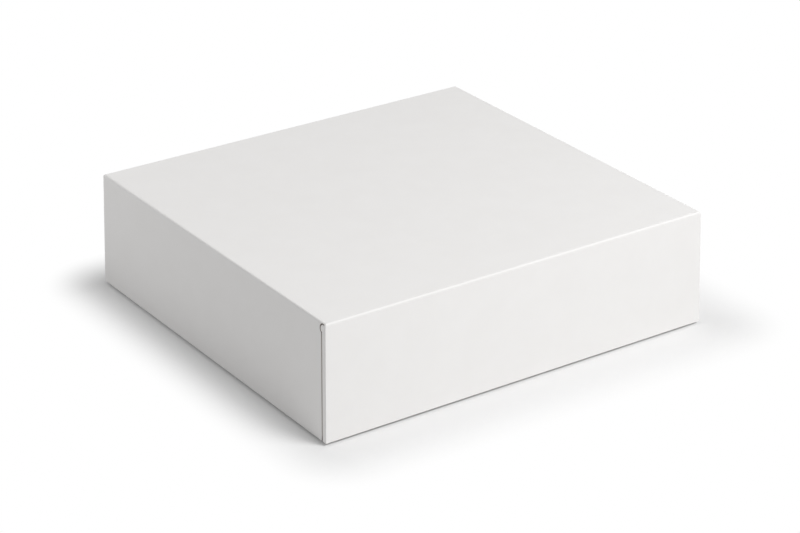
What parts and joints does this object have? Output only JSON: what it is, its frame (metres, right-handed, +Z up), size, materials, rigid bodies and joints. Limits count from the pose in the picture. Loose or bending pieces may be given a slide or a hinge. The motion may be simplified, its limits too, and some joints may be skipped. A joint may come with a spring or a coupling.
{
  "type": "cake box",
  "caption": "Shallow, nearly square white board cake box with a full-depth lift-off lid over a base tray, both folded from one blank with glued corner tabs.",
  "frame": {"origin": "on the surface the box stands on, under the middle of the box", "axes": "+Z up, the way the lid lifts; +X along the longer side, +Y along the shorter side"},
  "size_m": [0.2836, 0.2676, 0.078],
  "materials": {
    "white_board": "matt"
  },
  "bodies": {
    "base": {"base": "white_board"},
    "lid": {"lid": "white_board"}
  },
  "joints": [
    {"name": "lid_lift", "type": "slide", "parent": "base", "child": "lid", "axis": [0, 0, 1], "range_m": [0, 0.16]}
  ]
}
